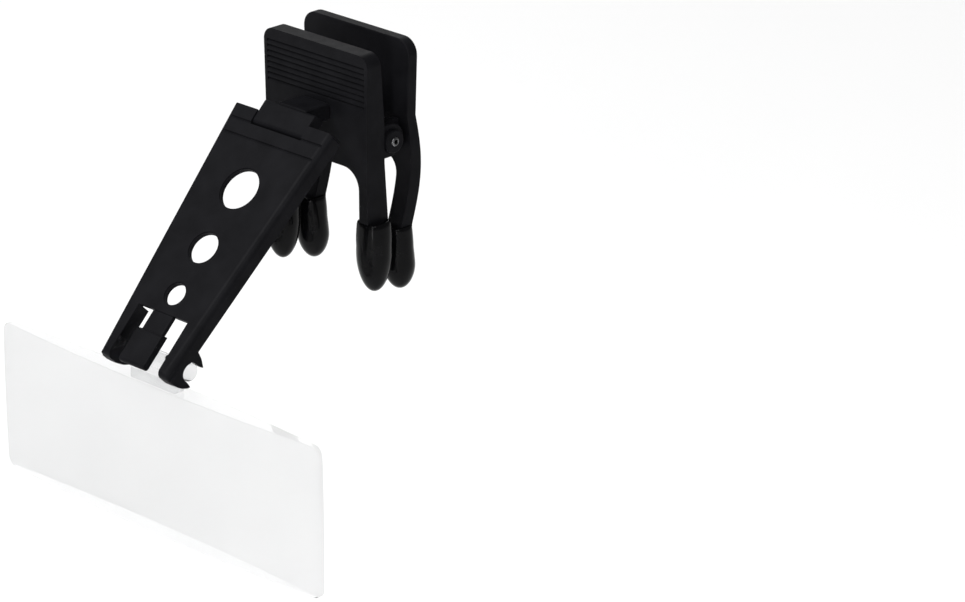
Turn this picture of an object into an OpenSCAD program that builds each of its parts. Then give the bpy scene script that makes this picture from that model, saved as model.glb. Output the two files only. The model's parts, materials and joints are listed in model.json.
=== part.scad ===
// Clip-on flip-up magnifier for spectacles.
// A sprung clip with four rubber feet carries a flip-up arm, and a clear
// rectangular lens hangs from the arm on a snap-in pin.
// X runs along the lens, -Y points forward (away from the face), +Z is up.
// The origin is the middle of the grip between the rubber feet.

/* [Lens] */
// width of the lens
lens_w = 70; // [50:1:90]
// height of the lens
lens_h = 23.8; // [18:0.1:35]
// thickness at the middle of the short ends
lens_edge = 1.1; // [0.8:0.1:3]
// how far each face bulges at the middle
lens_sag = 1.4; // [0.5:0.1:3]
// corner radius of the lens outline
lens_corner = 1.5; // [0.5:0.1:4]
// radius of the pin the lens hangs from
lens_pin_r = 1.42; // [1:0.01:2]
// height of the pin above the top edge of the lens
lens_pin_rise = 3.7; // [3:0.1:8]
// half width of the tab that joins pin and lens
tab_half = 4.9; // [2:0.1:5.2]
// thickness of that tab
tab_t = 2; // [1:0.1:2.6]

/* [Arm] */
// length of the arm from its top edge to its lower end
arm_len = 43.5; // [35:0.5:60]
// width at the top
arm_top_w = 21.4; // [18:0.1:26]
// width at the lower end
arm_end_w = 14.8; // [12:0.1:20]
// depth of the moulded channel
arm_depth = 2.6; // [2.4:0.1:4]
// thickness of the front face
face_t = 0.8; // [0.8:0.1:2]
// thickness of the side rims
rim_t = 1.2; // [0.8:0.1:2]
// angle of the arm below the horizontal
arm_drop = 44.7; // [30:0.1:60]
// distances of the three round holes from the top edge
hole_at = [12.6, 23, 31.1];
// radii of the three round holes
hole_r = [3.35, 2.53, 1.81];
// distances of the two fine grooves from the top edge
groove_at = [2.3, 4.8];
// width of a groove
groove_w = 0.32; // [0.2:0.02:0.6]
// depth of a groove
groove_d = 0.3; // [0.1:0.05:0.6]
// half length of the notch that holds the knuckle
notch_half = 5.5; // [4:0.1:7]
// where the two end slots begin, from the top edge
slot_from = 34.4; // [32:0.1:38]
// outer edge of an end slot, from the middle
slot_half = 5.4; // [4:0.05:6]
// radius of the small stop on the outer edge of each slot
nub_r = 0.45; // [0.2:0.05:0.8]
// radius between the front face and the lower end
end_r = 1.1; // [0.5:0.1:1.5]

/* [Arm Tongue] */
// half width of the tongue between the slots
tongue_half = 2.35; // [1:0.05:2.5]
// half width of the raised pad at its end
pad_half = 2.7; // [2:0.1:4]
// length of the pad
pad_len = 5.6; // [3:0.1:7]
// how far the pad stands out of the front face
pad_rise = 0.4; // [0:0.1:1.5]
// thickness of the pad behind the front face
pad_back = 0.8; // [0.6:0.1:2.1]

/* [Lens Hooks] */
// distance of the hook centre from the top edge of the arm
hook_at = 40.35; // [38:0.05:42]
// distance of the hook centre behind the front face
hook_back = 3.75; // [3:0.05:5]
// radius of the hook's bore
hook_bore_r = 1.5; // [1.2:0.01:2]
// outer radius of the hook
hook_r = 2.9; // [2:0.1:4]
// width of the snap mouth
mouth_w = 2.5; // [2:0.1:3]
// depth of the mouth's tips behind the hook centre
mouth_tip = 1.7; // [1:0.1:3]

/* [Arm Hinge] */
// knuckle radius
knuckle_r = 1.1; // [1:0.05:2]
// half length of the knuckle
knuckle_half = 5.35; // [4:0.05:7]
// height of the knuckle block above its axis, along the arm
knuckle_rise = 3.3; // [2:0.1:5]
// radius of the hinge pin
arm_pin_r = 0.5; // [0.4:0.05:0.8]
// distance of the hinge axis below the arm's top edge
hinge_below = 1.2; // [1:0.05:2]
// hinge axis in front of the jaw pivot
hinge_front = 12.14; // [10:0.02:15]
// hinge axis above the jaw pivot
hinge_up = 2.27; // [0:0.01:5]
// half width of the neck
neck_half = 3; // [2:0.1:5]
// height of the neck
neck_t = 2.6; // [2:0.1:4]

/* [Jaws] */
// width of both finger plates
jaw_w = 22; // [18:0.5:30]
// front face of the front jaw, in front of the pivot
front_face = 5.5; // [4:0.1:8]
// depth of the front jaw's rim
front_depth = 3.6; // [2.5:0.1:5]
// thickness of the front jaw's wall
front_wall = 1.6; // [1:0.1:2.5]
// top of the front jaw above the pivot
front_top = 14.3; // [10:0.1:20]
// inner face of the rear jaw, behind the pivot
rear_face = 2.9; // [2:0.1:5]
// thickness of the rear jaw
rear_t = 1.8; // [1.2:0.1:3]
// top of the rear jaw above the pivot
rear_top = 15; // [10:0.1:20]
// corner radius of the front finger plate
front_corner = 1.9; // [1:0.1:5]
// corner radius of the rear finger plate
rear_corner = 2.3; // [1:0.1:5]
// how much shallower the front jaw's rim gets towards its top
top_taper = 0.9; // [0:0.1:1.5]
// top of the arch between the legs, below the pivot
arch_top = 3.8; // [3:0.1:6]
// half width of the front arch
front_arch = 9.15; // [7:0.05:10]
// half width of the rear arch
rear_arch = 7.9; // [6:0.05:9.5]
// corner radius of both arches
arch_corner = 3; // [1:0.1:4]
// end of the legs below the pivot
leg_end = 19.5; // [15:0.1:22]
// how far the rear legs bow backward
leg_bow = 1.42; // [0:0.01:3]
// thickness of the rear legs at the bow
rear_leg_t = 2.4; // [1.5:0.1:3]

/* [Grip Ribs] */
// number of grooves on a finger plate
rib_n = 8; // [4:1:14]
// spacing of the grooves
rib_pitch = 0.87; // [0.6:0.01:1.5]
// width of a groove
rib_w = 0.4; // [0.2:0.05:0.8]
// depth of a groove
rib_d = 0.35; // [0.1:0.05:0.6]
// top groove above the pivot
rib_top = 12.3; // [8:0.1:14]

/* [Pivot And Spring] */
// radius of the jaw pin
jaw_pin_r = 0.75; // [0.5:0.05:1.2]
// radius of the bosses round the ends of the jaw pin
boss_r = 1.8; // [1.2:0.1:2.4]
// how far they stand out of the sides
boss_rise = 0.35; // [0:0.05:1]
// how much deeper the front legs grow towards the feet
leg_growth = 0.6; // [0:0.1:1]
// outer radius of the front jaw's lugs
front_lug_r = 2.6; // [2:0.1:3]
// outer radius of the rear jaw's lugs
rear_lug_r = 2.4; // [2:0.1:3]
// radius of the spring wire
wire_r = 0.35; // [0.2:0.05:0.5]
// mean radius of the spring coil
coil_r = 1.75; // [1.4:0.05:2.1]
// number of turns
coil_n = 8; // [4:1:12]
// height of the spring's legs above the pivot
spring_leg = 9; // [5:0.5:12]

/* [Rubber Feet] */
// radius of the front feet
front_foot_r = 2.7; // [2:0.05:3.5]
// radius of the rear feet
rear_foot_r = 2.4; // [2:0.05:3.5]
// top of the front feet below the pivot
foot_top = 11.9; // [10:0.1:14]
// tips of the front feet below the pivot
foot_tip = 23.2; // [20:0.1:28]
// top of the rear feet below the pivot
rear_foot_top = 14.2; // [12:0.1:16]
// how much further the rear feet reach
rear_foot_more = 1.3; // [0:0.1:3]
// gap between front and rear feet when closed
foot_gap = 0.4; // [0.2:0.05:2]

/* [Hidden] */
$fn = 64;
black = [0.075, 0.075, 0.082];
rubber = [0.05, 0.05, 0.055];
steel = [0.72, 0.72, 0.74];
clear = [0.9, 0.95, 0.97, 0.35];
press = 0.01;         // radial gap of a pin pressed into its own body
running = 0.06;       // radial gap of a pin that turns
past = 1;             // how far a cut runs past a face

// the pivot of the jaws, seen from the origin in the grip
pivot_z = (foot_top + foot_tip) / 2;
front_leg_y = -front_face + front_depth / 2;
front_foot_y = -3.36;
rear_foot_y = front_foot_y + front_foot_r + foot_gap + rear_foot_r;
pivot_y = -(front_foot_y + front_foot_r + foot_gap / 2);

// lugs and the ends of the pins, along X
front_lug = [9.2, 10.5];
rear_lug = [7.7, 8.9];
front_leg_x = (jaw_w / 2 + front_arch) / 2;
rear_leg_x = (jaw_w / 2 + rear_arch) / 2;
// the rear legs stand a little behind the middle of their feet
rear_leg_y = rear_foot_y + 0.5;

// arm frame: origin on the hinge axis, -Y down the arm, +Z out of its face
face_z = arm_depth / 2;
top_y = hinge_below;
end_y = hinge_below - arm_len;
hook_y = hinge_below - hook_at;
hook_z = face_z - hook_back;

// the lens pin in the pivot's frame
lens_pin_y = -hinge_front + hook_y * cos(arm_drop) - hook_z * sin(arm_drop);
lens_pin_z = hinge_up + hook_y * sin(arm_drop) + hook_z * cos(arm_drop);
lens_mid_z = lens_pin_z - lens_pin_rise - lens_h / 2;
lens_ball_r = (pow(lens_w / 2, 2) + pow(lens_sag, 2)) / (2 * lens_sag);

// ---------------------------------------------------------------- helpers
module at_pivot() { translate([0, pivot_y, pivot_z]) children(); }

module at_arm() {
    at_pivot() translate([0, -hinge_front, hinge_up])
        rotate([arm_drop, 0, 0]) children();
}

// a block between two opposite corners
module block(low, high) { translate(low) cube(high - low); }

// a rod along X
module rod_x(r, x0, x1) {
    translate([x0, 0, 0]) rotate([0, 90, 0]) cylinder(r = r, h = x1 - x0);
}

// a disc along Y
module disc_y(r, y0, y1) {
    translate([0, y1, 0]) rotate([90, 0, 0]) cylinder(r = r, h = y1 - y0);
}

module both_sides() { for (s = [0, 1]) mirror([s, 0, 0]) children(); }

// an upright panel whose two top corners are round
module panel(half, y0, y1, z0, z1, r) {
    block([-half, y0, z0], [half, y1, z1 - r]);
    block([-half + r, y0, z0], [half - r, y1, z1]);
    both_sides() translate([half - r, 0, z1 - r]) disc_y(r, y0, y1);
}

// the fine grip grooves of a finger plate, cut from the face at y
module rib_cuts(y) {
    reach = jaw_w / 2 - 0.6;
    for (i = [0 : rib_n - 1])
        translate([-reach, y - rib_d, rib_top - i * rib_pitch - rib_w / 2])
            cube([2 * reach, 2 * rib_d, rib_w]);
}

// a pierced lug around the jaw pivot, joined to a plate at y = reach
module lug(x, r, reach) {
    rod_x(r, x[0], x[1]);
    block([x[0], min(0, reach), -r], [x[1], max(0, reach), r]);
}

// ------------------------------------------------------------- front jaw
module front_jaw() {
    back = -front_face + front_depth;
    inner = jaw_w / 2 - front_wall;
    color(black) at_pivot() difference() {
        union() {
            panel(jaw_w / 2, -front_face, back, -leg_end, front_top, front_corner);
            both_sides() lug(front_lug, front_lug_r, back - 1);
            both_sides() {
                rod_x(boss_r, front_lug[1] - past, jaw_w / 2 + boss_rise);
                // the legs grow deeper towards the feet
                translate([front_arch, 0, 0]) rotate([90, 0, 90])
                    linear_extrude(jaw_w / 2 - front_arch)
                        polygon([[back - 1, -3], [back, -3],
                                 [back + leg_growth, -foot_top], [back - 1, -foot_top]]);
            }
        }
        // hollow behind the finger plate
        panel(inner, -front_face + front_wall, back + past, -2.2,
              front_top - front_wall, front_corner / 2);
        // room for the rear lugs beside the front ones
        both_sides() block([rear_lug[0] - 0.4, back - past, -rear_lug_r - past],
                           [front_lug[0], back + past + 4, rear_lug_r + past]);
        // arch between the legs
        panel(front_arch, -front_face - past, back + past, -leg_end - past,
              -arch_top, arch_corner);
        // the rim is shallower at the top of the finger plate
        translate([-jaw_w, 0, 0]) rotate([90, 0, 90]) linear_extrude(2 * jaw_w)
            polygon([[back, front_lug_r + 0.4], [back + past, front_lug_r + 0.4],
                     [back + past, front_top + past],
                     [back - top_taper, front_top + past], [back - top_taper, front_top]]);
        rib_cuts(-front_face);
        rod_x(jaw_pin_r + press, -jaw_w, jaw_w);
    }
}

// neck and hinge knuckle, which stand on the front jaw's face
module hinge_neck() {
    c = cos(arm_drop);
    s = sin(arm_drop);
    // corners of the sloped knuckle block, in the plane of Y and Z
    function on_arm(y, z) =
        [-hinge_front + y * c - z * s, hinge_up + y * s + z * c];
    peak = on_arm(knuckle_rise, knuckle_r);
    heel = on_arm(0, -knuckle_r);
    low = peak[1] - neck_t;
    // where the block's back meets the underside of the neck
    back_y = heel[0] + (low - heel[1]) * c / s;
    color(black) at_pivot() difference() {
        union() {
            translate([0, -hinge_front, hinge_up]) rotate([arm_drop, 0, 0]) {
                rod_x(knuckle_r, -knuckle_half, knuckle_half);
                block([-knuckle_half, 0, -knuckle_r],
                      [knuckle_half, knuckle_rise, knuckle_r]);
            }
            translate([-neck_half, 0, 0]) rotate([90, 0, 90])
                linear_extrude(2 * neck_half)
                    polygon([peak, [-front_face, peak[1]],
                             [-front_face, low], [back_y, low]]);
        }
        translate([0, -hinge_front, hinge_up])
            rod_x(arm_pin_r + running, -jaw_w, jaw_w);
    }
}

module jaw_pin() {
    color(steel) at_pivot()
        rod_x(jaw_pin_r, -jaw_w / 2 - boss_rise - 0.2, jaw_w / 2 + boss_rise + 0.2);
}

// close-wound coil on the jaw pin, with the leg that bears on the front jaw
module jaw_spring() {
    pitch = 2 * wire_r * 0.9;
    span = pitch * (coil_n - 1);
    tip_y = -front_face + front_wall + wire_r;
    lean = atan2(-coil_r - tip_y, spring_leg);
    color(steel) at_pivot() {
        for (i = [0 : coil_n - 1])
            translate([i * pitch - span / 2, 0, 0]) rotate([0, 90, 0])
                rotate_extrude() translate([coil_r, 0]) circle(wire_r, $fn = 24);
        translate([-span / 2, -coil_r, 0]) rotate([lean, 0, 0])
            translate([0, 0, -wire_r])
                cylinder(r = wire_r * 0.97, h = spring_leg + wire_r, $fn = 24);
    }
}

// the spring's other leg, which moves with the rear jaw
module spring_rear_leg() {
    span = 2 * wire_r * 0.9 * (coil_n - 1);
    color(steel) at_pivot() translate([span / 2, rear_face - wire_r, 0.6])
        cylinder(r = wire_r, h = spring_leg - 0.6, $fn = 24);
}

// -------------------------------------------------------------- rear jaw
// middle of a rear leg behind the pivot, from its root (t = 0) to the foot
function leg_mid(t) =
    (rear_face + rear_t / 2) * (1 - t) + rear_leg_y * t + leg_bow * sin(180 * t);
function leg_half(t) = (rear_t + (rear_leg_t - rear_t) * sin(90 * t)) / 2;

module rear_jaw() {
    leg_root = 3;
    leg_foot = -rear_foot_top;
    steps = 10;
    back = [for (i = [0 : steps]) let (t = i / steps)
        [leg_mid(t) + leg_half(t), leg_root + (leg_foot - leg_root) * t]];
    front = [for (i = [steps : -1 : 0]) let (t = i / steps)
        [leg_mid(t) - leg_half(t), leg_root + (leg_foot - leg_root) * t]];
    tip = rear_leg_t / 2;
    foot = [[rear_leg_y + tip, -leg_end], [rear_leg_y - tip, -leg_end]];
    color(black) at_pivot() difference() {
        union() {
            panel(jaw_w / 2, rear_face, rear_face + rear_t, leg_root - 0.2,
                  rear_top, rear_corner);
            // lower plate and both legs share one bowed outline
            translate([-jaw_w / 2, 0, 0]) rotate([90, 0, 90])
                linear_extrude(jaw_w) polygon(concat(back, foot, front));
            both_sides() lug(rear_lug, rear_lug_r, rear_face + 0.5);
        }
        panel(rear_arch, -past, 2 * front_face, -leg_end - past,
              -arch_top, arch_corner);
        // legs end narrower, inside the rubber feet
        both_sides() for (x = [rear_leg_x - 2.5, rear_leg_x + 1.2])
            translate([x, -front_face, -leg_end - past])
                cube([1.3, 3 * front_face, leg_end + past - rear_foot_top]);
        rib_cuts(rear_face + rear_t);
        rod_x(jaw_pin_r + running, -jaw_w, jaw_w);
    }
}

// ----------------------------------------------------------- rubber feet
// a bullet-shaped sleeve with a pocket for the leg
module foot(x, y, r, top, tip, pocket_y, pocket) {
    tip_r = r * 0.82;
    waist = top + (tip - top) * 0.55;
    color(rubber) at_pivot() difference() {
        translate([x, y, 0]) {
            translate([0, 0, -waist]) cylinder(r = r, h = waist - top);
            translate([0, 0, -tip + tip_r])
                cylinder(r1 = tip_r, r2 = r, h = tip - tip_r - waist);
            translate([0, 0, -tip + tip_r]) sphere(tip_r);
        }
        translate([x - pocket[0] / 2, pocket_y - pocket[1] / 2, -leg_end])
            cube([pocket[0], pocket[1], leg_end]);
    }
}

front_pocket = [jaw_w / 2 - front_arch, front_depth];
rear_pocket = [2.4, rear_leg_t];

module front_foot_left() {
    foot(-front_leg_x, front_foot_y, front_foot_r, foot_top, foot_tip,
         front_leg_y, front_pocket);
}
module front_foot_right() { mirror([1, 0, 0]) front_foot_left(); }
module rear_foot_left() {
    foot(-rear_leg_x, rear_foot_y, rear_foot_r, rear_foot_top, foot_tip + rear_foot_more,
         rear_leg_y, rear_pocket);
}
module rear_foot_right() { mirror([1, 0, 0]) rear_foot_left(); }

// ------------------------------------------------------------------- arm
// half width of the arm at a place along it
function arm_half(y) =
    (arm_top_w + (arm_end_w - arm_top_w) * (top_y - y) / arm_len) / 2;

// a tapered plate inset from the arm's sides, between two places along it
module arm_plate(inset, y0, y1, z0, z1) {
    translate([0, 0, z0]) linear_extrude(z1 - z0)
        polygon([[-arm_half(y0) + inset, y0], [arm_half(y0) - inset, y0],
                 [arm_half(y1) - inset, y1], [-arm_half(y1) + inset, y1]]);
}

// one snap hook under the end of a prong
module hook() {
    outer = arm_half(hook_y) - 0.05;
    translate([0, hook_y, hook_z]) difference() {
        union() {
            rod_x(hook_r, slot_half, outer);
            block([slot_half, -hook_r, 0], [outer, hook_r, -hook_z + face_z - end_r]);
        }
        block([slot_half - past, -mouth_w / 2, -hook_r - past],
              [outer + past, mouth_w / 2, 0]);
        block([slot_half - past, -hook_r - past, -hook_r - past],
              [outer + past, hook_r + past, -mouth_tip]);
    }
}

module arm() {
    arm_shell();
    // small stops beside the tongue
    color(black) at_arm() both_sides()
        translate([slot_half, hook_y, face_z - face_t]) cylinder(r = nub_r, h = face_t, $fn = 24);
}

// the channel-shaped moulding with its notch, windows and slots
module arm_shell() {
    ear = 3.7;
    color(black) at_arm() difference() {
        union() {
            difference() {
                arm_plate(0, end_y, top_y, -face_z, face_z);
                arm_plate(rim_t, top_y - slot_from, top_y - ear, -face_z - past,
                          face_z - face_t);
                // narrower between the two prongs
                block([-slot_half, end_y - past, -face_z - past],
                      [slot_half, top_y - slot_from + past, face_z - face_t]);
            }
            both_sides() hook();
        }
        // bore for the lens pin, through both rims
        translate([0, hook_y, hook_z]) rod_x(hook_bore_r, -arm_top_w, arm_top_w);
        // notch for the knuckle
        block([-notch_half, top_y - hinge_below - knuckle_r - 0.12, -face_z - past],
              [notch_half, top_y + past, face_z + past]);
        // hinge pin hole: through on the left, blind on the right
        rod_x(arm_pin_r + press, -arm_top_w, arm_top_w / 2 - 1.8);
        // round windows
        for (i = [0 : 2]) translate([0, top_y - hole_at[i], 0])
            cylinder(r = hole_r[i], h = arm_depth + past);
        // fine grooves across the face
        for (g = groove_at)
            block([-arm_top_w, top_y - g - groove_w / 2, face_z - groove_d],
                  [arm_top_w / 2 - 0.9, top_y - g + groove_w / 2, face_z + past]);
        // one wide window for both end slots: the tongue is its own node
        block([-slot_half, end_y - past, face_z - face_t - 0.1],
              [slot_half, top_y - slot_from, face_z + past]);
        // round front edge of the lower end
        difference() {
            block([-arm_top_w, end_y - past, face_z - end_r],
                  [arm_top_w, end_y + end_r, face_z + past]);
            translate([0, end_y + end_r, face_z - end_r])
                rod_x(end_r, -arm_top_w - past, arm_top_w + past);
        }
        // rounded corners at the lower end and on the ears
        both_sides() {
            translate([arm_half(end_y) - 1.6, end_y + 1.6, 0]) corner_cut(1.6);
            translate([arm_half(top_y) - 0.8, top_y - 0.8, 0])
                mirror([0, 1, 0]) corner_cut(0.8);
        }
    }
}

// what a round corner of radius r leaves over, for a corner at [r, -r]
module corner_cut(r) {
    difference() {
        block([0, -r - past, -face_z - past], [r + past, 0, face_z + past]);
        translate([0, 0, -face_z - 2 * past]) cylinder(r = r, h = arm_depth + 4 * past);
    }
}

// tongue between the end slots, with a raised pad whose end is round
module arm_tongue() {
    root = top_y - slot_from;
    pad_top = end_y + pad_len;
    pad_r = (pad_back + pad_rise) / 2;
    color(black) at_arm() {
        block([-tongue_half, pad_top - pad_r, face_z - face_t], [tongue_half, root, face_z]);
        block([-pad_half, end_y + pad_r, face_z - pad_back],
              [pad_half, pad_top, face_z + pad_rise]);
        translate([0, end_y + pad_r, face_z + pad_rise - pad_r]) rod_x(pad_r, -pad_half, pad_half);
    }
}

module arm_pin() {
    color(steel) at_arm() rod_x(arm_pin_r, -arm_top_w / 2 + 0.2, arm_top_w / 2 - 1.8);
}

// ------------------------------------------------------------------ lens
// half thickness of the lens at a place along X
function lens_half(x) = lens_edge / 2 + lens_sag
    - lens_ball_r + sqrt(pow(lens_ball_r, 2) - x * x);

module lens() {
    steps = 28;
    thick = lens_edge / 2 + lens_sag;
    low = lens_mid_z - lens_h / 2;
    xs = [for (i = [0 : steps]) lens_w * (i / steps - 0.5)];
    color(clear) at_pivot() translate([0, lens_pin_y, 0]) intersection() {
        // flat blank with four round corners
        union() {
            block([-lens_w / 2, -thick, low + lens_corner],
                  [lens_w / 2, thick, low + lens_h - lens_corner]);
            block([-lens_w / 2 + lens_corner, -thick, low],
                  [lens_w / 2 - lens_corner, thick, low + lens_h]);
            both_sides() for (z = [low + lens_corner, low + lens_h - lens_corner])
                translate([lens_w / 2 - lens_corner, 0, z])
                    disc_y(lens_corner, -thick, thick);
        }
        // bulge of both faces
        translate([0, 0, low - past]) linear_extrude(lens_h + 2 * past)
            polygon(concat([for (x = xs) [x, -lens_half(x)]],
                           [for (i = [steps : -1 : 0]) [xs[i], lens_half(xs[i])]]));
    }
}

// clear tab on top of the lens, with the cross pin that snaps into the hooks
module lens_tab() {
    reach = arm_half(hook_y) - 0.05;
    color(clear) at_pivot() translate([0, lens_pin_y, lens_pin_z]) {
        rod_x(lens_pin_r, -reach, reach);
        block([-tab_half, -tab_t / 2, -lens_pin_rise], [tab_half, tab_t / 2, 0]);
    }
}

front_jaw();
hinge_neck();
jaw_pin();
jaw_spring();
front_foot_left();
front_foot_right();
rear_jaw();
spring_rear_leg();
rear_foot_left();
rear_foot_right();
arm();
arm_tongue();
arm_pin();
lens();
lens_tab();
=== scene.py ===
"""Clip-on flip-up magnifier: the looks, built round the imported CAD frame.

Shapes are made in millimetres in three local frames, which come from the joints
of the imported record: the jaw pivot, the arm (-Y down the arm, +Z out of its face)
and the lens pin. They are turned into metres in the shared frame at the end.
"""

import json
import math

import bmesh
import bpy
from mathutils import Matrix, Vector


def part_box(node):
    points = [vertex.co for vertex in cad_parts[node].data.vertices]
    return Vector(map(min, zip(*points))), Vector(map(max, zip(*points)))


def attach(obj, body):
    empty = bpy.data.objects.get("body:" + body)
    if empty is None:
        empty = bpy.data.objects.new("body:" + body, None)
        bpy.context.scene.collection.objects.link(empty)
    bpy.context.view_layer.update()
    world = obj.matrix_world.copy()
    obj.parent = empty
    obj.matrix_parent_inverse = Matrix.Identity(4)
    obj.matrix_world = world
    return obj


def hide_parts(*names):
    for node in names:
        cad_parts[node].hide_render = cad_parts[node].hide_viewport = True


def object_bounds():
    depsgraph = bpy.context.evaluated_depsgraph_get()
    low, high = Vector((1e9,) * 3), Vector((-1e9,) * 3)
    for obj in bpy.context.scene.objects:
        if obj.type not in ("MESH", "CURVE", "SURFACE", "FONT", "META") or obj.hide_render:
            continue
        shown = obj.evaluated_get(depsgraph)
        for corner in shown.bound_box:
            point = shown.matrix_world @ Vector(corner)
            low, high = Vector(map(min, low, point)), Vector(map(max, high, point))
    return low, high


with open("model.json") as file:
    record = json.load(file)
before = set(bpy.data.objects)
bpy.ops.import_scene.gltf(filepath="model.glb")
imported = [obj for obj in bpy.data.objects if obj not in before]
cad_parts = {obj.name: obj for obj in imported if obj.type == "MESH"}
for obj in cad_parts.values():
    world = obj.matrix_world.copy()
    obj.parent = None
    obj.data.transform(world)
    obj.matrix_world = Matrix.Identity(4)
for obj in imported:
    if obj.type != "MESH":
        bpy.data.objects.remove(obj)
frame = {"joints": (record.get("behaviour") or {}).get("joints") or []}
cad_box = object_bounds()

MM = 0.001


def joint_place(name):
    """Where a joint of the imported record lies, in millimetres."""
    joint = next(j for j in frame["joints"] if j["name"] == name)
    return Vector(joint["pos_m"]) / MM


def box_mm(node, origin):
    """Lowest and highest corner of a CAD node in millimetres, seen from origin."""
    low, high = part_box(node)
    return low / MM - origin, high / MM - origin


# ------------------------------------------------------------------ frames
PIVOT = joint_place("jaw_pivot")
HINGE = joint_place("arm_flip")
LENS_PIN = joint_place("lens_tilt")
ARM_DROP = math.radians(44.7)          # of the arm below the horizontal
AT_PIVOT = Matrix.Translation(PIVOT)
AT_ARM = Matrix.Translation(HINGE) @ Matrix.Rotation(ARM_DROP, 4, "X")
AT_LENS = Matrix.Translation(LENS_PIN)

# ------------------------------------------------------- driving dimensions
# both jaws, seen from the jaw pivot
JAW_LOW, JAW_HIGH = box_mm("front_jaw", PIVOT)
REAR_HIGH = box_mm("rear_jaw", PIVOT)[1]
HALF = REAR_HIGH.x           # half width of the finger plates
LEG_END = JAW_LOW.z
WAIST = 3.0                  # where the plates begin to flare, the front rim to taper
WAIST_R = 9.0                # and the rear legs to bow
ARCH_TOP = 3.8               # top of the arches between the legs, below the pivot
ARCH_CORNER = 3.2            # corner radius of both arches
WEB_EDGE = 0.2               # edge radius of the lugs and their webs
GRIP_MARGIN = 0.5            # between the ends of the grip grooves and the sides

FRONT = JAW_LOW.y            # front face of the front jaw
FRONT_TOP = JAW_HIGH.z
FRONT_CORNER = 1.9
FRONT_FLARE = 0.2            # how much wider the plate is at its top, on each side
FRONT_DEPTH = 3.6            # depth of the rim
FRONT_BACK = FRONT + FRONT_DEPTH
FRONT_WALL = 1.6
FRONT_ARCH = 9.15            # half width of the arch
TOP_TAPER = 0.9              # how much shallower the rim gets towards the top
LEG_GROWTH = 0.6             # how much deeper the legs grow towards the feet
GROWTH_FROM = -3.0           # where that growth begins
HOLLOW_END = -2.2            # lower end of the hollow behind the finger plate
HOLLOW_CORNER = 1.2
FRONT_LUG = (9.2, 10.5)      # lugs on the jaw pin, along X
FRONT_LUG_R = 2.6
BOSS_R = 1.8                 # bosses round the ends of the jaw pin, on the lugs
BOSS_ROOT = FRONT_LUG[1] - 0.5
BOSS_END = JAW_HIGH.x

REAR_FACE = 2.9              # inner face of the rear jaw
REAR_T = 1.8                 # its thickness
REAR_CORNER = 2.5
REAR_FLARE = 0.5
REAR_ARCH = 7.9
REAR_LUG = (7.7, 8.9)
REAR_LUG_R = 2.4
REAR_LEG_HALF = 1.2          # half thickness of the legs at the feet
LEG_BOW = 1.42               # how far the legs bow backward
LEG_TRIM = 0.35              # what the legs lose on each side inside the feet

FRONT_FOOT_TOP = box_mm("front_foot_right", PIVOT)[1].z
REAR_FOOT = box_mm("rear_foot_right", PIVOT)
REAR_FOOT_TOP = REAR_FOOT[1].z
REAR_LEG_Y = (REAR_FOOT[0].y + REAR_FOOT[1].y) / 2 + 0.5    # behind the foot's middle
FOOT_LIP = 0.3               # edge radius of the mouth of a foot
TIP_FULLNESS = 1.75          # 2 makes the tip of a foot an ellipse, less a slimmer one

JAW_PIN_R = 0.75
ARM_PIN_R = 0.5
PRESS_FIT = 0.01             # room round a pin that is fixed in its hole
RUNNING_FIT = 0.06           # room round a pin that turns in it
WIRE_R = 0.35                # of the spring
COIL_R = 1.75                # to the middle of the wire
COIL_TURNS = 7.5
COIL_PITCH = 0.72
SPRING_LEG = 9.0             # height of the legs' tips above the coil's middle

# the arm, seen from its hinge and turned with it
ARM_TOP = 1.2                # top edge, lower end and face
ARM_END = -42.3
ARM_FACE = 1.3
ARM_TOP_HALF = 10.7
ARM_END_HALF = 7.4
ARM_WALL = 0.8               # thickness of the channel's face
ARM_INSIDE = ARM_FACE - ARM_WALL
RIM_T = 1.2                  # and of its side rims
CHANNEL_TOP = ARM_TOP - 3.7  # where the hollow of the channel begins
WINDOWS = ((12.6, 3.35), (23, 2.53), (31.1, 1.81))   # distance from the top, radius
WINDOW_STEP = 0.16           # width and depth of the step round a window
WINDOW_SINK = 0.14
GROOVES = (2.3, 4.8)         # fine grooves across the face: distances from the top
GROOVE_R = 0.2
GROOVE_MARGIN = 0.55         # between a groove's right end and the side
SLOT_TOP = -33.2             # where the end slots begin
SLOT_HALF = 5.4
END_R = 1.1                  # radius between the front face and the lower end
END_CORNER = 0.6             # radius of the outer corners at the lower end
EAR_CORNER = 0.7             # and at the top edge
STOP_R = 0.42                # small stops beside the tongue
TONGUE_HALF = 2.2
TONGUE_END = -37.0
PAD_HALF = 2.75
PAD_TOP = -36.3              # where the pad at the tongue's end begins
PAD_LOW, PAD_HIGH = 0.5, 1.7     # its back and its front
HOOK_Y, HOOK_Z = -39.15, -2.45   # middle of the hooks' bore
HOOK_BORE = 1.5
KNUCKLE_R = 1.1
KNUCKLE_HALF = 5.4
KNUCKLE_RISE = 3.3
NOTCH_HALF = 5.45            # notch that holds the knuckle
NOTCH_GAP = 0.12             # between its lower edge and the knuckle
NECK_HALF = 3.0
NECK_T = 2.6                 # height of the neck
PIN_HOLE_END = ARM_TOP_HALF - 1.8    # blind end of the hinge pin's hole

# the lens, seen from its pin
LENS_LOW, LENS_HIGH = box_mm("lens", LENS_PIN)
LENS_EDGE = 1.1              # thickness at the short ends
LENS_SAG = 1.4               # bulge of each face at the middle
LENS_CORNER = 1.5
LENS_EDGE_R = 0.16
LENS_PIN_R = 1.42
TAB_HALF = 4.9               # half width and half thickness of the tab
TAB_HALF_T = 1.0
TAB_SINK = 0.4               # how far the tab reaches into the lens

PAST = 1.0                   # how far a cutter reaches past what it cuts
HAIR = 0.02                  # keeps two faces from lying in one plane


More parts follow.
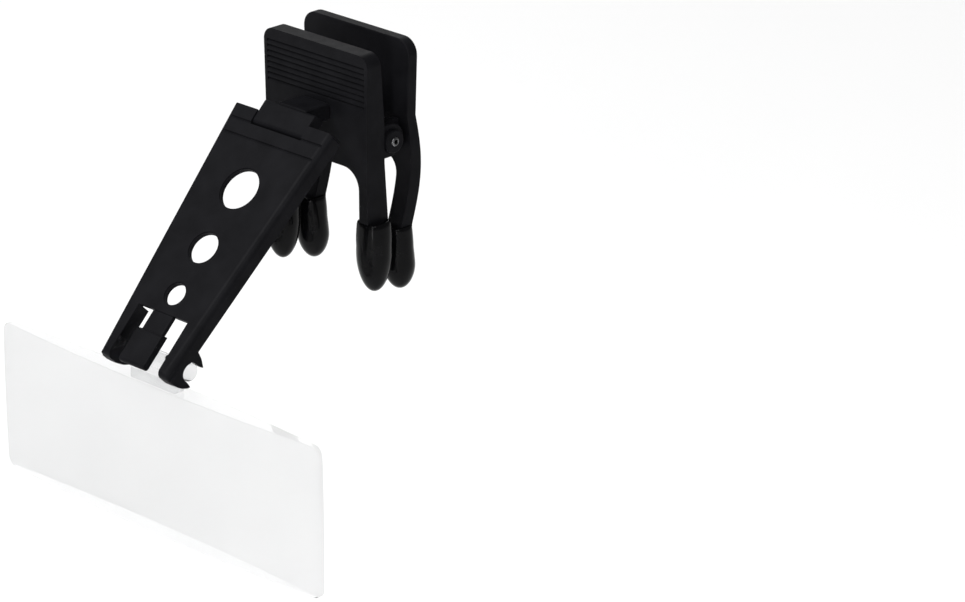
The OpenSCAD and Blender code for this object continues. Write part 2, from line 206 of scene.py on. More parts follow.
# ------------------------------------------------------------ mesh helpers
def rounded(corners, steps=8):
    """A closed outline from corners (a, b, radius), as a list of (a, b)."""
    out = []
    count = len(corners)
    for i, (a, b, r) in enumerate(corners):
        p = Vector((a, b))
        back = (Vector(corners[i - 1][:2]) - p).normalized()
        ahead = (Vector(corners[(i + 1) % count][:2]) - p).normalized()
        if r <= 0 or abs(back.dot(ahead)) > 0.9999:
            out.append((a, b))
            continue
        half = back.angle(ahead) / 2
        centre = p + (back + ahead).normalized() * r / math.sin(half)
        s = p + back * (r / math.tan(half)) - centre
        e = p + ahead * (r / math.tan(half)) - centre
        turn = math.atan2(s.x * e.y - s.y * e.x, s.dot(e))
        for k in range(steps + 1):
            t = turn * k / steps
            out.append((centre.x + s.x * math.cos(t) - s.y * math.sin(t),
                        centre.y + s.x * math.sin(t) + s.y * math.cos(t)))
    return out


def arc(centre, r, start, end, steps=12):
    """Points of an arc between two angles in degrees."""
    return [(centre[0] + r * math.cos(math.radians(start + (end - start) * k / steps)),
             centre[1] + r * math.sin(math.radians(start + (end - start) * k / steps)))
            for k in range(steps + 1)]


def to_object(name, bm):
    """A new object in the scene, from a bmesh that is used up."""
    bmesh.ops.recalc_face_normals(bm, faces=bm.faces)
    mesh = bpy.data.meshes.new(name)
    bm.to_mesh(mesh)
    bm.free()
    obj = bpy.data.objects.new(name, mesh)
    bpy.context.scene.collection.objects.link(obj)
    return obj


# puts (a, b) of an outline and c along the named axis into X, Y and Z
PLACE = {"X": lambda a, b, c: (c, a, b), "Y": lambda a, b, c: (a, c, b),
         "Z": lambda a, b, c: (a, b, c)}


def loft(rings):
    """A closed solid through rings of points, with flat ends."""
    bm = bmesh.new()
    made = [[bm.verts.new(p) for p in ring] for ring in rings]
    for low, high in zip(made, made[1:]):
        for i in range(len(low)):
            j = (i + 1) % len(low)
            bm.faces.new((low[i], low[j], high[j], high[i]))
    bm.faces.new(made[0])
    bm.faces.new(made[-1])
    return to_object("part", bm)


def prism(outline, low, high, axis="Y"):
    """An outline carried along an axis. It lies in the other two axes, in order."""
    put = PLACE[axis]
    return loft([[put(a, b, c) for a, b in outline] for c in (low, high)])


def block(low, high, r=0.0, axis="Y"):
    """A box, whose four edges along one axis may be round."""
    i, j = {"X": (1, 2), "Y": (0, 2), "Z": (0, 1)}[axis]
    k = "XYZ".index(axis)
    corners = [(low[i], low[j], r), (high[i], low[j], r),
               (high[i], high[j], r), (low[i], high[j], r)]
    return prism(rounded(corners, 6), low[k], high[k], axis)


def rod(r, low, high, at=(0, 0), axis="X", dome=0.0, sides=48):
    """A round bar along an axis, with ends domed by a small edge radius."""
    put = PLACE[axis]
    stations = [(low, r), (high, r)]
    if dome > 0:
        turn = [math.radians(90 * k / 4) for k in range(5)]
        first = [(low + dome * (1 - math.sin(t)), r - dome * (1 - math.cos(t)))
                 for t in reversed(turn)]
        last = [(high - dome * (1 - math.sin(t)), r - dome * (1 - math.cos(t)))
                for t in turn]
        stations = first + last
    rings = [[put(at[0] + s * math.cos(2 * math.pi * k / sides),
                  at[1] + s * math.sin(2 * math.pi * k / sides), c)
              for k in range(sides)] for c, s in stations]
    return loft(rings)


def mirrored(obj):
    """A mirror image of obj on the other side of X = 0."""
    twin = obj.copy()
    twin.data = obj.data.copy()
    twin.data.transform(Matrix.Scale(-1, 4, (1, 0, 0)))
    twin.data.flip_normals()
    bpy.context.scene.collection.objects.link(twin)
    return twin


def turned(obj, matrix):
    """obj, moved and turned by a matrix."""
    obj.data.transform(matrix)
    return obj


def bake(obj):
    """Applies every modifier of obj to its mesh."""
    graph = bpy.context.evaluated_depsgraph_get()
    mesh = bpy.data.meshes.new_from_object(obj.evaluated_get(graph))
    obj.modifiers.clear()
    obj.data = mesh
    return obj


def clean(obj, flat=0.3):
    """Merges what booleans leave behind: double points and split flat faces."""
    bm = bmesh.new()
    bm.from_mesh(obj.data)
    bmesh.ops.remove_doubles(bm, verts=bm.verts, dist=1e-4)
    bmesh.ops.dissolve_limit(bm, angle_limit=math.radians(flat), verts=bm.verts,
                             edges=bm.edges)
    bmesh.ops.recalc_face_normals(bm, faces=bm.faces)
    bm.to_mesh(obj.data)
    bm.free()
    return obj


def combine(base, operation, *others):
    """A boolean of base with each of the others, which are used up."""
    for other in others:
        step = base.modifiers.new("step", "BOOLEAN")
        step.operation = operation
        step.solver = "EXACT"
        step.object = other
        bake(base)
    for other in others:
        bpy.data.objects.remove(other)
    return clean(base)


def join(base, *others):
    return combine(base, "UNION", *others)


def cut(base, *others):
    return combine(base, "DIFFERENCE", *others)


def soften(obj, width, segments=3, angle=32):
    """Rounds every edge sharper than angle."""
    step = obj.modifiers.new("round", "BEVEL")
    step.width = width
    step.segments = segments
    step.limit_method = "ANGLE"
    step.angle_limit = math.radians(angle)
    step.miter_outer = "MITER_ARC"
    return bake(obj)


def place(obj, name, at, body, material, nodes, sharp=38):
    """Brings a finished shape into the shared frame and fastens it to its body."""
    obj.name = name
    obj.data.name = name
    obj.data.transform(Matrix.Scale(MM, 4) @ at)
    obj.data.shade_smooth()
    obj.data.set_sharp_from_angle(angle=math.radians(sharp))
    even = obj.modifiers.new("even_normals", "WEIGHTED_NORMAL")
    even.keep_sharp = True
    obj.data.materials.clear()
    obj.data.materials.append(material)
    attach(obj, body)
    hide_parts(*nodes)
    return obj


# --------------------------------------------------------------- materials
def shader(name):
    """A new material with its nodes, its links and its main shader."""
    material = bpy.data.materials.new(name)
    material.use_nodes = True
    nodes = material.node_tree.nodes
    return material, nodes, material.node_tree.links, nodes["Principled BSDF"]


def noise(nodes, links, scale, detail=4.0, rough=0.55):
    """Noise in the object's own space, where one unit is a metre."""
    where = nodes.new("ShaderNodeTexCoord")
    made = nodes.new("ShaderNodeTexNoise")
    made.inputs["Scale"].default_value = scale
    made.inputs["Detail"].default_value = detail
    made.inputs["Roughness"].default_value = rough
    links.new(where.outputs["Object"], made.inputs["Vector"])
    return made.outputs["Fac"]


def ramp(nodes, links, value, low, high, start=0.3, end=0.7):
    """A colour ramp between two colours, driven by value."""
    made = nodes.new("ShaderNodeValToRGB")
    made.color_ramp.elements[0].position = start
    made.color_ramp.elements[1].position = end
    made.color_ramp.elements[0].color = (*low, 1)
    made.color_ramp.elements[1].color = (*high, 1)
    links.new(value, made.inputs["Fac"])
    return made.outputs["Color"]


def spread(nodes, links, value, low, high):
    """value, taken from 0..1 to low..high."""
    made = nodes.new("ShaderNodeMapRange")
    made.inputs["To Min"].default_value = low
    made.inputs["To Max"].default_value = high
    links.new(value, made.inputs["Value"])
    return made.outputs["Result"]


def bump(nodes, links, value, strength, distance, normal=None):
    """Fine relief from value, on top of an earlier relief if there is one."""
    made = nodes.new("ShaderNodeBump")
    made.inputs["Strength"].default_value = strength
    made.inputs["Distance"].default_value = distance
    links.new(value, made.inputs["Height"])
    if normal is not None:
        links.new(normal, made.inputs["Normal"])
    return made.outputs["Normal"]


def black_plastic():
    """Satin moulded plastic: fine spark-eroded grain and faint flow mottling."""
    material, nodes, links, main = shader("black_plastic")
    mottle = noise(nodes, links, 260, 5)
    grain = noise(nodes, links, 5200, 2)
    rub = noise(nodes, links, 900, 6, 0.7)
    links.new(ramp(nodes, links, mottle, (0.0040, 0.0040, 0.0048),
                   (0.0068, 0.0068, 0.0080)), main.inputs["Base Color"])
    links.new(spread(nodes, links, rub, 0.36, 0.56), main.inputs["Roughness"])
    flow = bump(nodes, links, mottle, 0.12, 0.0002)
    links.new(bump(nodes, links, grain, 0.22, 0.00003, flow), main.inputs["Normal"])
    main.inputs["IOR"].default_value = 1.46
    main.inputs["Specular IOR Level"].default_value = 0.035
    return material


def black_rubber():
    """Glossy soft rubber, a little dusty and uneven."""
    material, nodes, links, main = shader("black_rubber")
    cloud = noise(nodes, links, 420, 4)
    dust = noise(nodes, links, 2400, 3, 0.65)
    links.new(ramp(nodes, links, cloud, (0.0012, 0.0012, 0.0015),
                   (0.0026, 0.0026, 0.0030)), main.inputs["Base Color"])
    links.new(spread(nodes, links, dust, 0.10, 0.22), main.inputs["Roughness"])
    links.new(bump(nodes, links, cloud, 0.25, 0.00025), main.inputs["Normal"])
    main.inputs["Specular IOR Level"].default_value = 0.08
    return material


def steel():
    """Blackened drawn steel, with fine scratches along X, the way the pins run."""
    material, nodes, links, main = shader("drawn_steel")
    where = nodes.new("ShaderNodeTexCoord")
    pulled = nodes.new("ShaderNodeMapping")
    pulled.inputs["Scale"].default_value = (900, 9000, 9000)
    drawn = nodes.new("ShaderNodeTexNoise")
    drawn.inputs["Scale"].default_value = 1.0
    drawn.inputs["Detail"].default_value = 3.0
    links.new(where.outputs["Object"], pulled.inputs["Vector"])
    links.new(pulled.outputs["Vector"], drawn.inputs["Vector"])
    links.new(ramp(nodes, links, drawn.outputs["Fac"], (0.055, 0.055, 0.058),
                   (0.16, 0.16, 0.165)), main.inputs["Base Color"])
    links.new(spread(nodes, links, drawn.outputs["Fac"], 0.18, 0.36),
              main.inputs["Roughness"])
    links.new(bump(nodes, links, drawn.outputs["Fac"], 0.15, 0.00002),
              main.inputs["Normal"])
    main.inputs["Metallic"].default_value = 1.0
    return material


def clear_acrylic():
    """Polished clear acrylic, with the faintest haze and moulding ripple.

    With acrylic's own index of 1.49, light runs out of bounces inside the thin slab and
    leaves black wedges at its edges. So the index is low, and the coat reflects instead.
    """
    material, nodes, links, main = shader("clear_acrylic")
    haze = noise(nodes, links, 90, 5)
    ripple = noise(nodes, links, 60, 1)
    links.new(ramp(nodes, links, haze, (0.785, 0.788, 0.792),
                   (0.815, 0.818, 0.820)), main.inputs["Base Color"])
    links.new(spread(nodes, links, haze, 0.02, 0.07), main.inputs["Roughness"])
    links.new(bump(nodes, links, ripple, 0.02, 0.0002), main.inputs["Normal"])
    main.inputs["IOR"].default_value = 1.06
    main.inputs["Transmission Weight"].default_value = 0.94
    main.inputs["Coat Weight"].default_value = 0.5
    main.inputs["Coat Roughness"].default_value = 0.04
    return material


PLASTIC = black_plastic()
RUBBER = black_rubber()
STEEL = steel()
ACRYLIC = clear_acrylic()


# -------------------------------------------------------------- both jaws
def finger_plate(top, arch, leg_end, corner, flare):
    """Outline in X and Z of a plate with two legs and an arch between them."""
    right = [(arch, -ARCH_TOP, ARCH_CORNER), (arch, leg_end, 0), (HALF, leg_end, 0),
             (HALF, WAIST, WAIST_R), (HALF + flare, top, corner)]
    return rounded([(-a, b, r) for a, b, r in right[::-1]] + right)


def grip_grooves(y, inward, count=8, pitch=0.87, top=12.3):
    """Cutters for the fine saw-tooth grooves across a finger plate's face at y."""
    tooth = [(-0.05, 0.24), (0.34, 0.12), (-0.05, -0.40)]    # depth, height
    return [prism([(y + inward * a, top - i * pitch + b) for a, b in tooth],
                  -HALF + GRIP_MARGIN, HALF - GRIP_MARGIN, "X") for i in range(count)]


def ear(r, span, low_y, high_y):
    """A round lug on the jaw pin, with the web that joins it to its jaw."""
    lug = rod(r, *span, sides=64)
    web = block((span[0], low_y, -r), (span[1], high_y, r))
    return soften(join(lug, web), WEB_EDGE)


# --------------------------------------------------------------- front jaw
def front_jaw():
    """Hollow finger plate with two legs, lugs, and bosses round the jaw pin's ends."""
    back = FRONT_BACK
    shell = prism(finger_plate(FRONT_TOP, FRONT_ARCH, LEG_END, FRONT_CORNER, FRONT_FLARE),
                  FRONT, back)
    taper = [(back, WAIST), (back + PAST, WAIST), (back + PAST, FRONT_TOP + PAST),
             (back - TOP_TAPER, FRONT_TOP + PAST), (back - TOP_TAPER, FRONT_TOP)]
    cut(shell, prism(taper, -HALF - PAST, HALF + PAST, "X"))
    hollow = block((-HALF + FRONT_WALL, FRONT + FRONT_WALL, HOLLOW_END),
                   (HALF - FRONT_WALL, back + PAST, FRONT_TOP - FRONT_WALL), HOLLOW_CORNER)
    cut(shell, hollow)
    # the legs grow deeper towards the feet
    growth = [(back - PAST, GROWTH_FROM), (back, GROWTH_FROM),
              (back + LEG_GROWTH, FRONT_FOOT_TOP), (back + LEG_GROWTH, LEG_END),
              (back - PAST, LEG_END)]
    for low, high in ((-HALF, -FRONT_ARCH), (FRONT_ARCH, HALF)):
        join(shell, prism(growth, low, high, "X"))
    soften(shell, 0.45, segments=4, angle=20)
    right = [ear(FRONT_LUG_R, FRONT_LUG, back - PAST, 0),
             rod(BOSS_R, BOSS_ROOT, BOSS_END, dome=0.25, sides=64)]
    left = [mirrored(part) for part in right]
    join(shell, *right)
    join(shell, *left)
    cut(shell, rod(JAW_PIN_R + PRESS_FIT, -BOSS_END - PAST, BOSS_END + PAST))
    cut(shell, *grip_grooves(FRONT, 1))
    place(shell, "front_jaw_moulding", AT_PIVOT, "front_jaw", PLASTIC,
          ["front_jaw"])


def hinge_neck():
    """Sloped knuckle block on its neck, standing on the front jaw's face."""
    knuckle = prism(rounded([(KNUCKLE_RISE, -KNUCKLE_R, 0.35), (KNUCKLE_RISE, KNUCKLE_R, 0.5),
                             (-KNUCKLE_R, KNUCKLE_R, 0.86), (-KNUCKLE_R, -KNUCKLE_R, 0.86)]),
                    -KNUCKLE_HALF, KNUCKLE_HALF, "X")
    soften(knuckle, 0.07)
    to_pivot = AT_PIVOT.inverted() @ AT_ARM
    turned(knuckle, to_pivot)
    # the neck runs from just under the knuckle's peak into the jaw, and its lower front
    # corner lies on the line of the knuckle's back
    peak = to_pivot @ Vector((0, KNUCKLE_RISE, KNUCKLE_R))
    heel = to_pivot @ Vector((0, 0, -KNUCKLE_R))
    top, low, root = peak.z - 0.05, peak.z - NECK_T, FRONT + 0.2
    heel_y = heel.y + (low - heel.z) / math.tan(ARM_DROP)
    neck = prism([(peak.y + 0.1, top), (root, top), (root, low), (heel_y, low)],
                 -NECK_HALF, NECK_HALF, "X")
    soften(neck, 0.35)
    join(knuckle, neck)
    bore = rod(ARM_PIN_R + RUNNING_FIT, -KNUCKLE_HALF - PAST, KNUCKLE_HALF + PAST, sides=32)
    cut(knuckle, turned(bore, to_pivot))
    place(knuckle, "hinge_knuckle", AT_PIVOT, "front_jaw", PLASTIC,
          ["hinge_neck"])


def jaw_pin():
    """Tubular rivet: its ends are rolled outward round a small hole."""
    reach = BOSS_END + 0.2
    hole_r, hole_depth = 0.36, 1.0
    pin = rod(JAW_PIN_R, -reach, reach, dome=0.3)
    for side in (1, -1):
        low, high = sorted((side * (reach - hole_depth), side * (reach + PAST)))
        cut(pin, rod(hole_r, low, high, sides=32))
    soften(pin, 0.08, angle=50)
    place(pin, "jaw_pin_rod", AT_PIVOT, "front_jaw", STEEL, ["jaw_pin"])


def wire(points, r, sides=14):
    """A round wire along points, with rings square to its path."""
    rings = []
    normal = None
    for i, p in enumerate(points):
        ahead = Vector(points[min(i + 1, len(points) - 1)]) - Vector(points[max(i - 1, 0)])
        ahead.normalize()
        if normal is None:
            normal = ahead.orthogonal().normalized()
        normal = (normal - ahead * normal.dot(ahead)).normalized()
        across = ahead.cross(normal)
        rings.append([Vector(p) + r * (normal * math.cos(2 * math.pi * k / sides)
                                       + across * math.sin(2 * math.pi * k / sides))
                      for k in range(sides)])
    return loft(rings)


def jaw_spring():
    """Torsion spring wound on the jaw pin. Its coil and front leg stay with the front
    jaw, and its other leg moves with the rear jaw."""
    end = COIL_TURNS * COIL_PITCH / 2
    steps = int(COIL_TURNS * 28)             # 28 short pieces a turn
    leg_steps = 8
    coil = []
    for k in range(steps + 1):
        t = 2 * math.pi * COIL_TURNS * k / steps
        # starts at the front of the coil and ends at its back
        coil.append((-end + 2 * end * k / steps, -COIL_R * math.cos(t),
                     -COIL_R * math.sin(t)))
    front_tip = Vector((-end, FRONT + FRONT_WALL + WIRE_R, SPRING_LEG))
    front_leg = [front_tip.lerp(Vector((-end, -COIL_R, 0)), k / leg_steps)
                 for k in range(leg_steps)]
    place(wire(front_leg + coil, WIRE_R), "torsion_spring", AT_PIVOT, "front_jaw", STEEL,
          ["jaw_spring"])
    start = Vector((end, COIL_R, 0))
    rear_tip = Vector((end, REAR_FACE - WIRE_R, SPRING_LEG))
    rear_leg = [start.lerp(rear_tip, k / leg_steps) for k in range(leg_steps + 1)]
    place(wire(rear_leg, WIRE_R), "torsion_spring_rear_leg", AT_PIVOT, "rear_jaw", STEEL,
          ["spring_rear_leg"])


# ---------------------------------------------------------------- rear jaw
def leg_middle(t):
    """Y of a rear leg's middle, from the finger plate (t = 0) to the foot (1)."""
    root = REAR_FACE + REAR_T / 2
    return root * (1 - t) + REAR_LEG_Y * t + LEG_BOW * math.sin(math.pi * t)


def leg_half(t):
    """Half thickness of a rear leg there."""
    thin = REAR_T / 2
    return thin + (REAR_LEG_HALF - thin) * math.sin(math.pi / 2 * t)


def rear_jaw():
    """Plain finger plate with two bowed legs, and lugs between those of the front jaw."""
    steps = 24
    back, front = [], []
    for k in range(steps + 1):
        t = k / steps
        z = WAIST + (REAR_FOOT_TOP - WAIST) * t
        back.append((leg_middle(t) + leg_half(t), z))
        front.append((leg_middle(t) - leg_half(t), z))
    side = ([(REAR_FACE, REAR_HIGH.z), (REAR_FACE + REAR_T, REAR_HIGH.z)] + back
            + [(REAR_LEG_Y + REAR_LEG_HALF, LEG_END), (REAR_LEG_Y - REAR_LEG_HALF, LEG_END)]
            + front[::-1])
    shell = prism(side, -HALF - PAST, HALF + PAST, "X")
    deep = 15                                # past the front and back of the jaw
    mask = finger_plate(REAR_HIGH.z, REAR_ARCH, LEG_END - PAST, REAR_CORNER, REAR_FLARE)
    combine(shell, "INTERSECT", prism(mask, -deep, deep))
    soften(shell, 0.38, angle=40)
    right = ear(REAR_LUG_R, REAR_LUG, 0, REAR_FACE + 0.6)
    left = mirrored(right)
    join(shell, right)
    join(shell, left)
    cut(shell, rod(JAW_PIN_R + RUNNING_FIT, -HALF - PAST, HALF + PAST))
    cut(shell, *grip_grooves(REAR_FACE + REAR_T, -1))
    # the legs are narrower inside their feet, from a little below the mouths down
    for low, high in ((REAR_ARCH - PAST, REAR_ARCH + LEG_TRIM), (HALF - LEG_TRIM, HALF + PAST)):
        trim = block((low, 0, LEG_END - PAST),
                     (high, REAR_FOOT[1].y + PAST, REAR_FOOT_TOP - 0.4))
        cut(shell, mirrored(trim), trim)
    place(shell, "rear_jaw_moulding", AT_PIVOT, "rear_jaw", PLASTIC,
          ["rear_jaw"])


# ------------------------------------------------------------- rubber feet
def foot(name, node, body, tip_shift, top_r, wide_r, wide_at, nose):
    """A soft sleeve: squarish at its mouth, round and full below, blunt at its tip.

    It grows from top_r to wide_r at the share wide_at of its height, closes from the
    share nose on, and its tip lies tip_shift further back than its mouth.
    """
    low, high = box_mm(node, PIVOT)
    centre = (low + high) / 2
    height = high.z - low.z
    sides = 56
    pocket_depth, pocket_r = 0.9, 0.7        # what the mouth narrows to, out of sight
    mouth_square, lip_square = 4, 2.8        # 2 is round, and more is squarer
    square_until = 0.35                      # share of the height that isn't yet round

    def radius(t):
        """Radius at t from the mouth (0) to the tip (1)."""
        full = top_r + (wide_r - top_r) * math.sin(math.pi / 2 * min(t / wide_at, 1))
        if t <= nose:
            return full
        s = (t - nose) / (1 - nose)
        return full * max(0.0, 1 - s ** TIP_FULLNESS) ** 0.5

    def ring(z, r, square, shift):
        """A loop at z, whose shape is a superellipse of power square."""
        made = []
        for k in range(sides):
            a = 2 * math.pi * k / sides
            c, s = math.cos(a), math.sin(a)
            grow = (abs(c) ** square + abs(s) ** square) ** (-1 / square)
            made.append((centre.x + r * grow * c, centre.y + shift + r * grow * s, z))
        return made

    rings = [ring(high.z - pocket_depth, pocket_r, mouth_square, 0),
             ring(high.z, top_r * 0.80, mouth_square, 0)]
    for k in range(5):
        t = math.radians(90 * k / 4)
        rings.append(ring(high.z - FOOT_LIP * (1 - math.sin(math.pi / 2 - t)),
                          top_r - FOOT_LIP * (1 - math.sin(t)), lip_square, 0))
    steps = 40
    for k in range(1, steps):
        t = math.sin(math.pi / 2 * k / steps)
        if t * height < FOOT_LIP * 1.2:      # the lip is there already
            continue
        square = 2 + (lip_square - 2) * max(0.0, 1 - t / square_until)
        rings.append(ring(high.z - t * height, radius(t), square, tip_shift * t))
    place(loft(rings), name, AT_PIVOT, body, RUBBER, [node],
          sharp=60)


def feet():
    for side in ("left", "right"):
        foot(f"front_foot_sleeve_{side}", f"front_foot_{side}", "front_jaw",
             tip_shift=0.0, top_r=2.28, wide_r=2.72, wide_at=0.45, nose=0.48)
        foot(f"rear_foot_sleeve_{side}", f"rear_foot_{side}", "rear_jaw",
             tip_shift=0.45, top_r=1.98, wide_r=2.5, wide_at=0.75, nose=0.60)


# --------------------------------------------------------------------- arm
def arm_half(y):
    """Half width of the tapering arm at y."""
    share = (ARM_TOP - y) / (ARM_TOP - ARM_END)
    return ARM_TOP_HALF + (ARM_END_HALF - ARM_TOP_HALF) * share


def arm_section(y, half, low, high, r):
    """Cross-section in X and Z with its two front edges round."""
    outline = rounded([(-half, low, 0), (half, low, 0), (half, high, r), (-half, high, r)], 6)
    return [(x, y, z) for x, z in outline]


def hook_plate():
    """The right rim's end with its open hook, as wide as the rim."""
    # offsets from the middle of the bore: along the arm, and out of its face
    upper_lip = [(4.65, 1.85), (3.95, 1.17), (3.15, 1.05), (2.90, 0.35), (2.60, -0.45),
                 (2.15, -1.15), (1.75, -1.77), (1.53, -1.15)]
    lower_lip = [(-1.57, -0.95), (-1.70, -1.55), (-2.20, -1.10), (-2.65, -0.35),
                 (-2.97, 0.55), (-3.13, 1.35), (-3.13, 2.55), (4.65, 2.55)]
    outline = upper_lip + arc((0, 0), HOOK_BORE, 6, 191, 22) + lower_lip
    return prism([(HOOK_Y + a, HOOK_Z + b) for a, b in outline],
                 SLOT_HALF + 0.03, arm_half(HOOK_Y) - HAIR, "X")


def round_corner(body, y, r, sense):
    """Rounds both outer corners of the arm at its end y, which looks to -sense."""
    half = arm_half(y)
    for side in (1, -1):
        keep = arc((half - r, y + sense * r), r, 0, -90 * sense, 8)
        outline = [(side * a, b) for a, b in keep]
        outline += [(side * (half - r), y - sense * PAST), (side * (half + PAST), y - sense * PAST),
                    (side * (half + PAST), y + sense * r)]
        cut(body, prism(outline, -ARM_FACE - PAST, ARM_FACE + PAST, "Z"))


def arm():
    """Tapering channel with windows, a notch for the knuckle, and two hooks."""
    body = loft([arm_section(y, arm_half(y), -ARM_FACE, ARM_FACE, 1.0)
                 for y in (ARM_TOP, ARM_END)])
    channel = loft([arm_section(y, arm_half(y) - RIM_T, -ARM_FACE - PAST, ARM_INSIDE, 0.5)
                    for y in (CHANNEL_TOP, SLOT_TOP)])
    # the channel is narrower between the hooks
    throat = block((-SLOT_HALF, ARM_END - PAST, -ARM_FACE - PAST),
                   (SLOT_HALF, SLOT_TOP + PAST, ARM_INSIDE))
    cut(body, channel, throat)
    round_corner(body, ARM_END, END_CORNER, 1)
    round_corner(body, ARM_TOP, EAR_CORNER, -1)
    # round front edge of the lower end
    y, z = ARM_END + END_R, ARM_FACE - END_R
    spare = [(ARM_END - PAST, z), (ARM_END - PAST, ARM_FACE + PAST), (y, ARM_FACE + PAST)]
    cut(body, prism(arc((y, z), END_R, 90, 180) + spare,
                    -ARM_TOP_HALF - PAST, ARM_TOP_HALF + PAST, "X"))
    soften(body, 0.22, segments=2, angle=40)
    # notch for the knuckle
    cut(body, block((-NOTCH_HALF, -KNUCKLE_R - NOTCH_GAP, -ARM_FACE - PAST),
                    (NOTCH_HALF, ARM_TOP + PAST, ARM_FACE + PAST), r=0.1, axis="Z"))
    for at, r in WINDOWS:
        middle = (0, ARM_TOP - at)
        cut(body, rod(r, ARM_INSIDE - PAST, ARM_FACE + PAST, middle, "Z", sides=72),
            rod(r + WINDOW_STEP, ARM_FACE - WINDOW_SINK, ARM_FACE + PAST, middle, "Z", sides=72))
    # room for the tongue, with a slot left free on each side of it
    cut(body, block((-SLOT_HALF, ARM_END - PAST, ARM_INSIDE - 0.1),
                    (SLOT_HALF, SLOT_TOP, ARM_FACE + PAST), r=0.2, axis="Z"))
    hook = soften(hook_plate(), 0.12, segments=2, angle=35)
    join(body, mirrored(hook), hook)
    cut(body, rod(HOOK_BORE, -ARM_TOP_HALF - PAST, ARM_TOP_HALF + PAST, (HOOK_Y, HOOK_Z),
                  sides=64))
    # small stops on the outer edges of the slots
    stop = rod(STOP_R, ARM_INSIDE, ARM_FACE - 0.1, (SLOT_HALF, HOOK_Y), "Z", dome=0.1,
               sides=20)
    join(body, mirrored(stop), stop)
    for at in GROOVES:
        y = ARM_TOP - at
        cut(body, rod(GROOVE_R, -arm_half(y) - PAST, arm_half(y) - GROOVE_MARGIN,
                      (y, ARM_FACE - HAIR), sides=12))
    # blind hole for the hinge pin, open on the left
    cut(body, rod(ARM_PIN_R + PRESS_FIT, -ARM_TOP_HALF - PAST, PIN_HOLE_END, sides=32))
    place(body, "arm_moulding", AT_ARM, "arm", PLASTIC, ["arm"])


def arm_tongue():
    """Thin tongue between the end slots, with a thick pad at its end."""
    strip = block((-TONGUE_HALF, TONGUE_END, ARM_INSIDE),
                  (TONGUE_HALF, SLOT_TOP + HAIR, ARM_FACE - HAIR), axis="Z")
    soften(strip, 0.2)
    pad = prism(rounded([(PAD_TOP, PAD_LOW, 0.1), (PAD_TOP - 0.4, PAD_HIGH, 0.6),
                         (ARM_END, PAD_HIGH, 0.55), (ARM_END, PAD_LOW, 0.55)]),
                -PAD_HALF, PAD_HALF, "X")
    soften(pad, 0.28, angle=50)
    join(strip, pad)
    place(strip, "arm_tongue_pad", AT_ARM, "arm", PLASTIC, ["arm_tongue"])


def arm_pin():
    """Steel pin through both ears of the arm and the knuckle."""
    pin = rod(ARM_PIN_R, -ARM_TOP_HALF + 0.2, PIN_HOLE_END, dome=0.15, sides=32)
    place(pin, "arm_hinge_pin", AT_ARM, "arm", STEEL, ["arm_pin"])


# -------------------------------------------------------------------- lens
def lens():
    """Clear slab with two bulging faces and a rounded rim."""
    half_w = (LENS_HIGH.x - LENS_LOW.x) / 2
    half_h = (LENS_HIGH.z - LENS_LOW.z) / 2
    mid = (LENS_HIGH.z + LENS_LOW.z) / 2
    ball = (half_w ** 2 + LENS_SAG ** 2) / (2 * LENS_SAG)    # radius of the faces
    spacing, loops = 1.6, 14                                 # fineness of the mesh
    corners = [(-half_w, -half_h, LENS_CORNER), (half_w, -half_h, LENS_CORNER),
               (half_w, half_h, LENS_CORNER), (-half_w, half_h, LENS_CORNER)]
    sparse = rounded(corners, 10)
    outline = []
    for (a, b), (c, d) in zip(sparse, sparse[1:] + sparse[:1]):
        parts = max(1, round(math.hypot(c - a, d - b) / spacing))
        outline += [(a + (c - a) * k / parts, b + (d - b) * k / parts) for k in range(parts)]

    def half_thick(x, z):
        return LENS_EDGE / 2 + LENS_SAG - ball + math.sqrt(ball ** 2 - x * x - z * z)

    def ring(inset, scale, sign, sink):
        """One loop of a face: the outline drawn in by inset, then scaled."""
        made = []
        for a, b in outline:
            x = a * scale * (half_w - inset) / half_w
            z = b * scale * (half_h - inset) / half_h
            made.append((x, sign * (half_thick(x, z) - sink), z + mid))
        return made

    def edge_ring(t, sign):
        """One loop of the round edge of a face, t from the face towards the rim."""
        return ring(LENS_EDGE_R * (1 - math.sin(t)), 1, sign, LENS_EDGE_R * (1 - math.cos(t)))

    turn = [math.radians(90 * k / 4) for k in range(1, 5)]
    rings = [ring(LENS_EDGE_R, k / loops, 1, 0) for k in range(1, loops + 1)]
    rings += [edge_ring(t, 1) for t in turn]
    rings += [edge_ring(t, -1) for t in reversed(turn)]
    rings += [ring(LENS_EDGE_R, k / loops, -1, 0) for k in range(loops, 0, -1)]
    place(loft(rings), "lens_slab", AT_LENS, "lens", ACRYLIC, ["lens"],
          sharp=60)


def lens_tab():
    """Clear tab on the top edge of the lens, with the cross pin of its snap hinge."""
    low, high = box_mm("lens_tab", LENS_PIN)
    pin = rod(LENS_PIN_R, low.x, high.x, dome=0.3, sides=64)
    tab = block((-TAB_HALF, -TAB_HALF_T, low.z - TAB_SINK), (TAB_HALF, TAB_HALF_T, 0))
    soften(tab, 0.25)
    join(pin, tab)
    place(pin, "lens_tab_and_pin", AT_LENS, "lens", ACRYLIC, ["lens_tab"])


# -------------------------------------------------------- the stage, in metres
CAMERA_AZIMUTH = math.radians(44.637)      # from -Y towards +X
CAMERA_ELEVATION = math.radians(21.562)
CAMERA_AT = (0.45184, -0.42718, 0.23461)
CAMERA_LENS = 163.1                        # focal length in mm, on a 36 mm sensor

FLOOR_HALF = 3.0
FLOOR_DROP = 0.06                          # floor below the lowest point of the part
SKY = 0.27                                 # strength of the white world

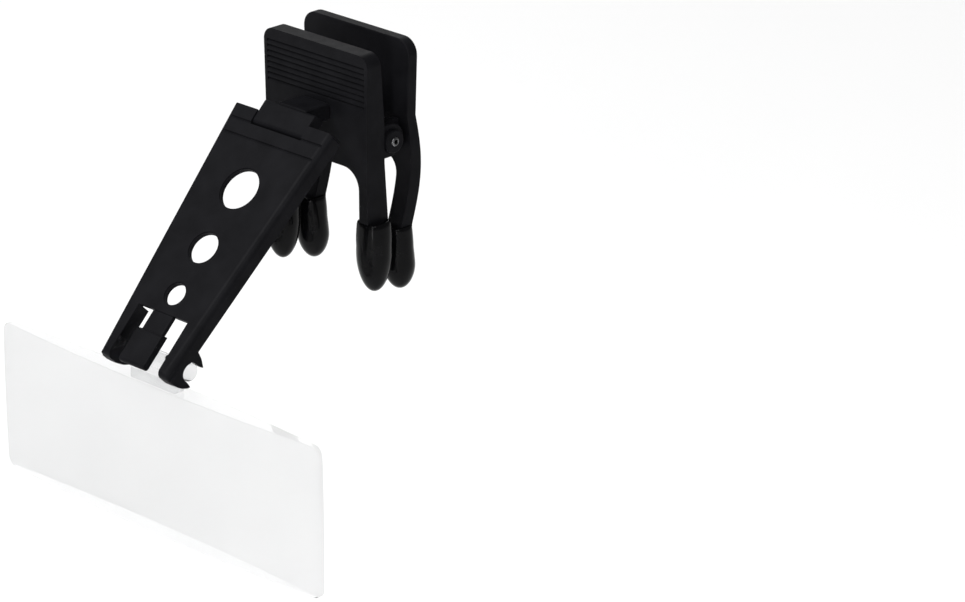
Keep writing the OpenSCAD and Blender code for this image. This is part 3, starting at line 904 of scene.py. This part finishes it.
# name, where it stands, what it aims at, width and height, watts
LIGHTS = (
    ("key", (-0.8, -1.35, 2.3), (0, 0, 0), (1.4, 1.0), 78.0),
    ("rim", (-1.3, 1.25, 0.95), (0, 0, 0), (1.2, 0.8), 6.0),
    ("edge", (0.70, -0.33, 0.63), (0, 0, 0), (0.2, 0.2), 3.0),
    # stands upright beside the camera, for the streaks on the feet
    ("strip", (0.20, -0.31, 0.15), (0, 0, 0.15), (0.022, 0.48), 0.6),
)


def aim(obj, direction):
    """Turns a camera or light, which look along their own -Z."""
    obj.rotation_mode = "QUATERNION"
    obj.rotation_quaternion = direction.to_track_quat("-Z", "Y")


def camera():
    made = bpy.data.cameras.new("camera")
    made.lens = CAMERA_LENS
    made.sensor_width = 36
    made.clip_end = 20
    obj = bpy.data.objects.new("camera", made)
    level = math.cos(CAMERA_ELEVATION)
    back = Vector((math.sin(CAMERA_AZIMUTH) * level, -math.cos(CAMERA_AZIMUTH) * level,
                   math.sin(CAMERA_ELEVATION)))
    obj.location = CAMERA_AT
    aim(obj, -back)
    bpy.context.scene.collection.objects.link(obj)
    bpy.context.scene.camera = obj


def panel_light(name, stand, target, size, watts):
    made = bpy.data.lights.new(name, "AREA")
    made.shape = "RECTANGLE"
    made.size, made.size_y = size
    made.energy = watts
    obj = bpy.data.objects.new(name, made)
    obj.location = stand
    aim(obj, Vector(target) - Vector(stand))
    bpy.context.scene.collection.objects.link(obj)


def stage():
    """Plain pale floor, white world and soft lights."""
    bm = bmesh.new()
    bmesh.ops.create_grid(bm, x_segments=8, y_segments=8, size=FLOOR_HALF)
    floor = to_object("floor", bm)
    floor.location = (0, 0, cad_box[0].z - FLOOR_DROP)
    material, nodes, links, main = shader("pale_floor")
    links.new(ramp(nodes, links, noise(nodes, links, 3, 3), (0.84, 0.84, 0.84),
                   (0.86, 0.86, 0.86)), main.inputs["Base Color"])
    main.inputs["Roughness"].default_value = 0.9
    main.inputs["Specular IOR Level"].default_value = 0.1
    floor.data.materials.append(material)

    world = bpy.data.worlds.new("studio")
    bpy.context.scene.world = world
    world.use_nodes = True
    world.node_tree.nodes["Background"].inputs["Color"].default_value = (1, 1, 1, 1)
    world.node_tree.nodes["Background"].inputs["Strength"].default_value = SKY

    for light in LIGHTS:
        panel_light(*light)

    bpy.context.scene.view_settings.view_transform = "Standard"


camera()
stage()
front_jaw()
hinge_neck()
jaw_pin()
jaw_spring()
rear_jaw()
feet()
arm()
arm_tongue()
arm_pin()
lens()
lens_tab()

bpy.context.view_layer.update()
